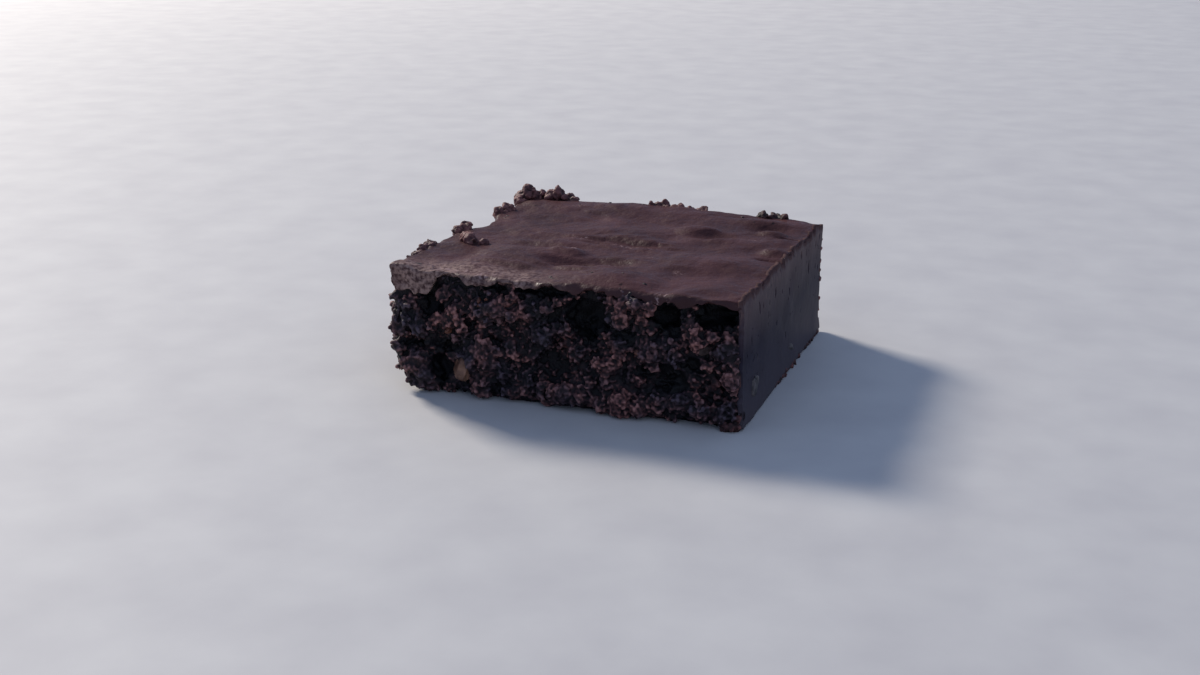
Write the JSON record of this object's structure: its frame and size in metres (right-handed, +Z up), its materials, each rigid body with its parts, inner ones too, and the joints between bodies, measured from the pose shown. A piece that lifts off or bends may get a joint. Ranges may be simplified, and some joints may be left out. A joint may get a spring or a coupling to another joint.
{
  "type": "brownie square",
  "caption": "Thick square of dark chocolate brownie with a thin shiny crust, torn crumbly sides with air holes, one clean knife-cut side and bits of nut.",
  "frame": {"origin": "on the flat underside, under the centre of the object's box", "axes": "+X towards the knife-cut side, +Y away from the torn front, +Z up out of the crust"},
  "size_m": [0.0744, 0.072, 0.0292],
  "materials": {
    "fudge": "dark brown baked fudge, satin crust on top and rough crumb at the torn sides",
    "nut": "tan baked nut, smooth where the knife cut it"
  },
  "bodies": {
    "root": {"brownie": "fudge", "nut_low_front": "nut", "nut_high_front": "nut", "nut_near_cut": "nut", "nut_far_cut": "nut"}
  },
  "joints": []
}
